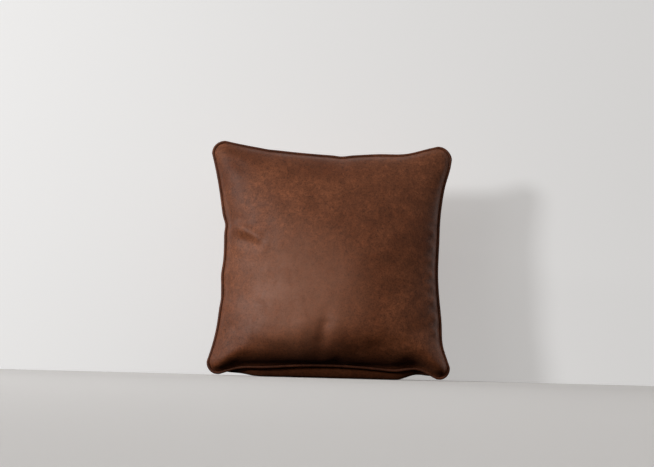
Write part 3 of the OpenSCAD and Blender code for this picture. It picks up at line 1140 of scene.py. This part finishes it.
def build_fill(front, back, across, up, material):
    """The fibre inside: both faces a little further in, joined round their edge."""
    row = across + 1
    count = row * (up + 1)

    def sunk(p, side):
        w = max(0.0, p.y * side - FILL_IN) * side
        return Vector((p.x * FILL_SHARE, w, MID_V + (p.z - MID_V) * FILL_SHARE))

    points = [sunk(p, -1) for p in front] + [sunk(p, 1) for p in back]
    bottom, right, top, left = boundary(across, up)
    edge = set(bottom + right + top + left)
    names = list(range(2 * count))
    for k in edge:
        names[count + k] = k
    faces = grid_faces(across, up, False)
    for face in grid_faces(across, up, True):
        faces.append(tuple(names[count + k] for k in face))
    used = sorted({k for face in faces for k in face})
    new = {k: m for m, k in enumerate(used)}
    faces = [tuple(new[k] for k in face) for face in faces]
    kept = [points[k] for k in used]
    shape = (stood(kept, INSERT_DEPTH + FILL_IN), faces)
    piece = add_part("fibre_filling", shape, material, "insert_fill")
    subdivide(piece)


def build_insert(shares, surface, ticking, fibre):
    back = []
    for x, y in shares:
        u, v = plan(x, y)
        w = closed_down(back_w(x, y), x, y)
        back.append(Vector((u, w, v - back_sink(x, w, v))))
    front, across, up = thin_out(surface, FRONT_ACROSS, FRONT_UP, 2)
    back, _, _ = thin_out(back, FRONT_ACROSS, FRONT_UP, 2)
    front = [Vector((p.x, min(p.y, -INSERT_DEPTH - 0.25), p.z)) for p in front]
    inner_front = build_insert_face("front", front, across, up, -1, ticking)
    inner_back = build_insert_face("back", back, across, up, 1, ticking)
    build_fill(inner_front, inner_back, across, up, fibre)


# ---- Materials ----


class Nodes:
    """Short ways to add and join shader nodes of one material."""

    def __init__(self, name):
        self.material = bpy.data.materials.new(name)
        self.material.use_nodes = True
        self.tree = self.material.node_tree
        self.shader = self.tree.nodes["Principled BSDF"]
        self.place = self.add("ShaderNodeTexCoord").outputs["Object"]

    def add(self, kind, **values):
        node = self.tree.nodes.new(kind)
        for key, value in values.items():
            setattr(node, key, value)
        return node

    def feed(self, node, **inputs):
        """Sets a node's inputs, each to a value or to another node's output."""
        for key, value in inputs.items():
            self.put(node.inputs[key.replace("_", " ")], value)

    def put(self, socket, value):
        if isinstance(value, bpy.types.NodeSocket):
            self.tree.links.new(value, socket)
        elif socket.type == "RGBA":
            socket.default_value = (*value, 1)
        else:
            socket.default_value = value

    def noise(self, scale, detail=4.0, rough=0.55, distortion=0.0, place=None):
        node = self.add("ShaderNodeTexNoise")
        self.feed(node, Scale=scale, Detail=detail, Roughness=rough, Distortion=distortion)
        self.feed(node, Vector=place or self.place)
        return node.outputs["Fac"]

    def cells(self, scale, feature="F1", place=None):
        node = self.add("ShaderNodeTexVoronoi", feature=feature)
        self.feed(node, Scale=scale, Vector=place or self.place)
        return node.outputs["Distance"]

    def bands(self, scale, direction, place=None):
        node = self.add("ShaderNodeTexWave", wave_type="BANDS", bands_direction=direction)
        self.feed(node, Scale=scale, Vector=place or self.place)
        return node

    def stretched(self, shares):
        """The object's coordinates, stretched by a share along each axis."""
        node = self.add("ShaderNodeMapping")
        self.feed(node, Vector=self.place, Scale=shares)
        return node.outputs[0]

    def warped(self, scale, reach):
        """The object's coordinates, pushed about by noise up to a reach in metres."""
        node = self.add("ShaderNodeTexNoise")
        self.feed(node, Scale=scale, Vector=self.place)
        push = self.add("ShaderNodeVectorMath", operation="MULTIPLY_ADD")
        for socket, value in zip(push.inputs, (node.outputs["Color"], (reach, reach, reach), self.place)):
            self.put(socket, value)
        return push.outputs["Vector"]

    def distance(self, place):
        node = self.add("ShaderNodeVectorMath", operation="DISTANCE")
        self.put(node.inputs[0], self.place)
        self.put(node.inputs[1], place)
        return node.outputs["Value"]

    def between(self, value, low, high, out_low=0.0, out_high=1.0):
        node = self.add("ShaderNodeMapRange", interpolation_type="SMOOTHSTEP")
        self.feed(node, From_Min=low, From_Max=high, To_Min=out_low, To_Max=out_high, Value=value)
        return node.outputs["Result"]

    def math(self, operation, a, b):
        node = self.add("ShaderNodeMath", operation=operation)
        self.put(node.inputs[0], a)
        self.put(node.inputs[1], b)
        return node.outputs[0]

    def times(self, a, b):
        return self.math("MULTIPLY", a, b)

    def plus(self, a, b):
        return self.math("ADD", a, b)

    def mix(self, share, a, b, blend="MIX"):
        node = self.add("ShaderNodeMix", data_type="RGBA", blend_type=blend)
        for socket, value in zip((node.inputs[0], node.inputs[6], node.inputs[7]), (share, a, b)):
            self.put(socket, value)
        return node.outputs[2]

    def shade(self, colour, value):
        """A colour made darker or lighter by a value round 1."""
        return self.mix(1.0, colour, value, "MULTIPLY")

    def bump(self, height, strength, distance, before=None):
        node = self.add("ShaderNodeBump")
        self.feed(node, Strength=strength, Distance=distance, Height=height)
        if before is not None:
            self.feed(node, Normal=before)
        return node.outputs["Normal"]

    def set(self, **inputs):
        self.feed(self.shader, **inputs)


# Painted sheen: the front leather's colour is made paler round one place, low on the left of the front
PAINTED_SHEEN_PLACE = (-0.060, -0.085, 0.160)
PAINTED_SHEEN_COLOUR = (0.340, 0.150, 0.090)


def leather(name, light, middle, dark, shine, rubbing_and_painted_sheen=0.0):
    """Distressed faux leather: cloudy dye, fine dark speckle, a pebbled grain and a soft sheen; where
    asked, also a painted sheen that makes the colour paler round one place.
    """
    n = Nodes(name)
    clouds = n.noise(6.5, 4, 0.6, 0.6)
    patches = n.noise(34, 6, 0.68, 0.5)
    mottle = n.noise(62, 5, 0.66, 0.6)
    blotches = n.noise(125, 6, 0.7, 0.4)
    speckle = n.noise(330, 4, 0.7, 0.2)
    tone = n.mix(n.between(clouds, 0.36, 0.64), dark, light)
    tone = n.mix(n.between(patches, 0.36, 0.60, 0.0, 0.5), tone, middle)
    tone = n.shade(tone, n.between(patches, 0.32, 0.68, 1.10, 0.90))
    tone = n.shade(tone, n.between(mottle, 0.34, 0.66, 1.12, 0.87))
    tone = n.shade(tone, n.between(blotches, 0.36, 0.64, 1.15, 0.80))
    tone = n.shade(tone, n.between(speckle, 0.44, 0.70, 1.08, 0.52))
    veins = n.between(n.cells(190, "DISTANCE_TO_EDGE", n.warped(70, 0.012)), 0.0, 0.16, 0.4, 0.0)
    veins = n.times(veins, n.between(blotches, 0.40, 0.60))
    wear_and_painted_sheen = n.mix(veins, tone, light)
    # Painted sheen: the colour is mixed unevenly towards a paler tone round one place
    if rubbing_and_painted_sheen:
        painted_sheen_mask = n.between(n.distance(PAINTED_SHEEN_PLACE), 0.03, 0.17, rubbing_and_painted_sheen, 0.0)
        uneven = n.between(patches, 0.2, 0.7, 0.6, 1.0)
        wear_and_painted_sheen = n.mix(n.times(painted_sheen_mask, uneven), wear_and_painted_sheen, PAINTED_SHEEN_COLOUR)
    rough = n.between(patches, 0.3, 0.7, shine + 0.06, shine - 0.06)
    rough = n.plus(rough, n.between(speckle, 0.45, 0.75, 0.0, 0.08))
    pebbles = n.between(n.cells(620), 0.0, 0.55, 0.0, 1.0)
    fine = n.bump(pebbles, 0.25, 0.00022)
    grain = n.bump(n.noise(330, 4, 0.6), 0.35, 0.00035, fine)
    soft = n.bump(n.noise(48, 3, 0.5, 0.3), 0.3, 0.0016, grain)
    n.set(Base_Color=wear_and_painted_sheen, Roughness=rough, Normal=soft)
    n.set(Specular_IOR_Level=0.24, IOR=1.45)
    n.set(Sheen_Weight=0.03, Sheen_Roughness=0.4, Sheen_Tint=(0.75, 0.66, 0.68))
    return n.material


# Scale of Blender's bands for a thread pitch of one metre
THREAD_SCALE = 0.5 / 3.1831


def woven(name, colour, gap, pitch):
    """Woven cloth: threads across and up, over and under each other. The darker gap colour between the
    threads is painted shade.
    """
    n = Nodes(name)
    waves = []
    for direction in ("X", "Z"):
        wave = n.bands(THREAD_SCALE / pitch, direction)
        n.feed(wave, Distortion=0.6, Detail=2)
        waves.append(wave.outputs["Fac"])
    weave = n.times(*waves)
    fuzz = n.noise(900, 3, 0.6)
    tone = n.mix(n.between(weave, 0.0, 0.55), gap, colour)
    tone = n.mix(n.between(fuzz, 0.4, 0.7, 0.0, 0.25), tone, gap)
    n.set(Base_Color=tone, Roughness=n.between(fuzz, 0.3, 0.7, 0.78, 0.92))
    n.set(Normal=n.bump(weave, 0.5, pitch * 0.25))
    n.set(Sheen_Weight=0.2, Sheen_Roughness=0.5)
    return n.material


def thread(name, colour):
    n = Nodes(name)
    twist = n.bands(420, "DIAGONAL").outputs["Fac"]
    # Painted shade: the grooves of the twist, between the strands, get half the thread's colour
    dark = tuple(c * 0.5 for c in colour)
    tone = n.mix(twist, dark, colour)
    n.set(Base_Color=tone, Roughness=n.between(n.noise(700), 0.3, 0.7, 0.5, 0.7))
    n.set(Normal=n.bump(twist, 0.4, 0.0001))
    n.set(Sheen_Weight=0.25)
    return n.material


def nylon(name, colour):
    n = Nodes(name)
    tone = n.mix(n.between(n.noise(300), 0.35, 0.65), colour, tuple(c * 1.5 for c in colour))
    n.set(Base_Color=tone, Roughness=n.between(n.noise(90), 0.3, 0.7, 0.32, 0.46))
    n.set(Normal=n.bump(n.noise(800), 0.15, 0.00005))
    return n.material


def brass(name):
    """Antique brass: dark in some patches, worn bright in others, finely scratched."""
    n = Nodes(name)
    rubbing_and_painted_sheen = n.noise(120, 5, 0.6, 0.4)
    lines = n.noise(1.5, 2, 0.5, 0.0, n.stretched((60, 900, 900)))
    tone = n.mix(n.between(rubbing_and_painted_sheen, 0.35, 0.65), (0.16, 0.105, 0.05), (0.52, 0.37, 0.18))
    n.set(Base_Color=tone, Metallic=1.0)
    n.set(Roughness=n.between(lines, 0.3, 0.7, 0.26, 0.42))
    n.set(Normal=n.bump(lines, 0.12, 0.00005, n.bump(rubbing_and_painted_sheen, 0.15, 0.0001)))
    return n.material


def fibre(name):
    n = Nodes(name)
    tufts = n.noise(60, 6, 0.7, 1.2)
    tone = n.mix(n.between(tufts, 0.3, 0.7), (0.72, 0.72, 0.71), (0.92, 0.92, 0.91))
    n.set(Base_Color=tone, Roughness=n.between(tufts, 0.3, 0.7, 0.85, 1.0))
    n.set(Normal=n.bump(tufts, 0.8, 0.004))
    n.set(Sheen_Weight=0.5)
    return n.material


def plain(name, colour, roughness):
    n = Nodes(name)
    shade = n.between(n.noise(3, 2), 0.3, 0.7, 0.0, 0.04)
    tone = n.mix(shade, colour, tuple(c * 0.94 for c in colour))
    n.set(Base_Color=tone, Roughness=roughness)
    return n.material


# Light, middle and dark tones of the leathers. The piping is the same leather as the panels, painted
# darker: painted shade
LEATHER_TONES = [(0.200, 0.065, 0.027), (0.152, 0.045, 0.017), (0.118, 0.032, 0.011)]
PIPING_SHADED_TONES = [(0.150, 0.047, 0.021), (0.105, 0.031, 0.013), (0.075, 0.020, 0.008)]

# The panels' leather carries the painted sheen round one place, at a strength of 0.55
leather_brown = leather("distressed_leather_painted_sheen", *LEATHER_TONES, 0.50, 0.55)
piping_shaded_brown = leather("piping_leather", *PIPING_SHADED_TONES, 0.52)
thread_brown = thread("brown_thread", (0.075, 0.030, 0.018))
coil_brown = nylon("brown_nylon", (0.030, 0.014, 0.009))
tape_brown = woven("zip_tape_weave", (0.055, 0.024, 0.015), (0.020, 0.009, 0.006), 0.0007)
antique_brass = brass("antique_brass")
ticking_white = woven("ticking_weave", (0.80, 0.79, 0.75), (0.60, 0.59, 0.55), 0.0009)
label_white = woven("label_satin", (0.86, 0.85, 0.82), (0.72, 0.71, 0.68), 0.0005)
cord_white = thread("cotton_strands", (0.70, 0.67, 0.60))
fibre_white = fibre("polyester_fibre")

# ---- The pieces ----

front_share_grid, front_points = build_front(leather_brown)
build_back(1, "back_upper_leather", "back_upper_panel", leather_brown)
build_back(-1, "back_lower_leather", "back_lower_panel", leather_brown)
build_piping(piping_shaded_brown, cord_white)
build_seam_stitches(thread_brown)
build_topstitch(1, "topstitch_upper", "zip_topstitch_upper", thread_brown)
build_topstitch(-1, "topstitch_lower", "zip_topstitch_lower", thread_brown)
build_coil(1, "zip_teeth_upper", "zip_coil_upper", coil_brown)
build_coil(-1, "zip_teeth_lower", "zip_coil_lower", coil_brown)
build_stops(antique_brass)
build_slider(antique_brass)
build_pull(antique_brass)
build_insert(front_share_grid, front_points, ticking_white, fibre_white)

CARRIED_OVER = {
    "zip_tape_upper": tape_brown,
    "zip_tape_lower": tape_brown,
    "care_label": label_white,
    "insert_label": label_white,
}
for node, material in CARRIED_OVER.items():
    materials = frame["nodes"][node].data.materials
    materials.clear()
    materials.append(material)

# ---- Floor, backdrop, light and camera ----

WALL_Y = 0.20
REACH = 6
SPOT_RADIUS = 0.15
SPOT_ANGLE = 15
MIDDLE = (0, 0, 0.22)
LOW_LEFT = (-0.06, -0.08, 0.15)
COOL = (0.98, 0.99, 1.0)
WARM = (1.0, 0.99, 0.975)


def one_sided(name, colour, glow):
    """Pale paint on the side that faces the pillow, a little lit from within, clear from behind."""
    n = Nodes(name)
    n.set(Base_Color=colour, Roughness=0.9, Specular_IOR_Level=0.1)
    n.set(Emission_Color=(1.0, 0.985, 0.965), Emission_Strength=glow)
    clear = n.add("ShaderNodeBsdfTransparent")
    mixed = n.add("ShaderNodeMixShader")
    facing = n.add("ShaderNodeNewGeometry").outputs["Backfacing"]
    for socket, value in zip(mixed.inputs, (facing, n.shader.outputs[0], clear.outputs[0])):
        n.put(socket, value)
    n.feed(n.tree.nodes["Material Output"], Surface=mixed.outputs[0])
    return n.material


def sheet_of(name, corners, material):
    piece = make_piece(name, [Vector(c) for c in corners], [(0, 1, 2, 3)], material)
    return piece


floor_corners = [(-REACH, -REACH, 0), (REACH, -REACH, 0), (REACH, REACH, 0), (-REACH, REACH, 0)]
wall_outline = [(-REACH, -0.001), (REACH, -0.001), (REACH, 5), (-REACH, 5)]
wall_corners = [(x, WALL_Y, z) for x, z in wall_outline]
floor = sheet_of("floor", floor_corners, plain("pale_floor", (0.72, 0.71, 0.70), 0.85))
sheet_of("backdrop", wall_corners, one_sided("pale_wall", (0.795, 0.797, 0.80), 0.33))


def lamp(name, kind, place, target, power, colour):
    """A light turned to a target. Gives its data, so that it can be sized."""
    light = bpy.data.lights.new(name, kind)
    light.energy = power
    light.color = colour
    thing = add_object(name, light)
    thing.location = place
    thing.rotation_euler = (Vector(target) - Vector(place)).to_track_quat("-Z", "Y").to_euler()
    return light


def area_light(name, place, size, power, colour):
    light = lamp(name, "AREA", place, MIDDLE, power, colour)
    light.shape = "DISK"
    light.size = size


def spot_light(name, place, power):
    """A soft-edged spot on the front's lower left, where the photograph shows a broad sheen."""
    light = lamp(name, "SPOT", place, LOW_LEFT, power, WARM)
    light.shadow_soft_size = SPOT_RADIUS
    light.spot_size = math.radians(SPOT_ANGLE)
    light.spot_blend = 1.0


def direction_from(azimuth, elevation, distance):
    """A place seen from the pillow at an angle to the left of the view axis and above it."""
    a, e = math.radians(azimuth), math.radians(elevation)
    x = -math.sin(a) * math.cos(e) * distance
    y = -math.cos(a) * math.cos(e) * distance
    return x, y, MIDDLE[2] + math.sin(e) * distance


area_light("key", direction_from(44, 14, 3.0), 0.45, 32, COOL)
area_light("fill", direction_from(35, 20, 3.6), 1.6, 12, WARM)
spot_light("side_spot", direction_from(75, 20, 2.6), 76)
spot_light("front_spot", direction_from(45, 35, 2.6), 38)


def studio_world(name, colour, strength):
    """Even light from above the horizon only, as in a room over a dark stand."""
    world = bpy.data.worlds.new(name)
    bpy.context.scene.world = world
    world.use_nodes = True
    tree = world.node_tree
    background = tree.nodes["Background"]
    background.inputs["Color"].default_value = (*colour, 1)
    place = tree.nodes.new("ShaderNodeTexCoord")
    split = tree.nodes.new("ShaderNodeSeparateXYZ")
    rise = tree.nodes.new("ShaderNodeMapRange")
    rise.inputs["From Min"].default_value = -0.05
    rise.inputs["From Max"].default_value = 0.25
    rise.inputs["To Max"].default_value = strength
    tree.links.new(place.outputs["Generated"], split.inputs[0])
    tree.links.new(split.outputs["Z"], rise.inputs["Value"])
    tree.links.new(rise.outputs["Result"], background.inputs["Strength"])


studio_world("studio", (1.0, 0.955, 0.92), 0.43)
floor.visible_diffuse = False
floor.visible_glossy = False

# The camera stands almost on the floor, looks a little upwards and is rolled a little
CAMERA_DISTANCE = 2.6
CAMERA_X = -0.0065
CAMERA_Z = 0.0194
PITCH = math.radians(5.5)
ROLL = math.radians(1.5)
camera_data = bpy.data.cameras.new("camera")
camera_data.lens = 76.7
camera_data.sensor_width = 36
camera_data.clip_start = 0.05
camera = add_object("camera", camera_data)
camera.location = (CAMERA_X, -CAMERA_DISTANCE - Y_CENTRE * MM, CAMERA_Z)
turn = Vector((0, math.cos(PITCH), math.sin(PITCH))).to_track_quat("-Z", "Y").to_matrix()
camera.rotation_euler = (turn @ Matrix.Rotation(ROLL, 3, "Z")).to_euler()
bpy.context.scene.camera = camera
bpy.context.scene.view_settings.view_transform = "Standard"
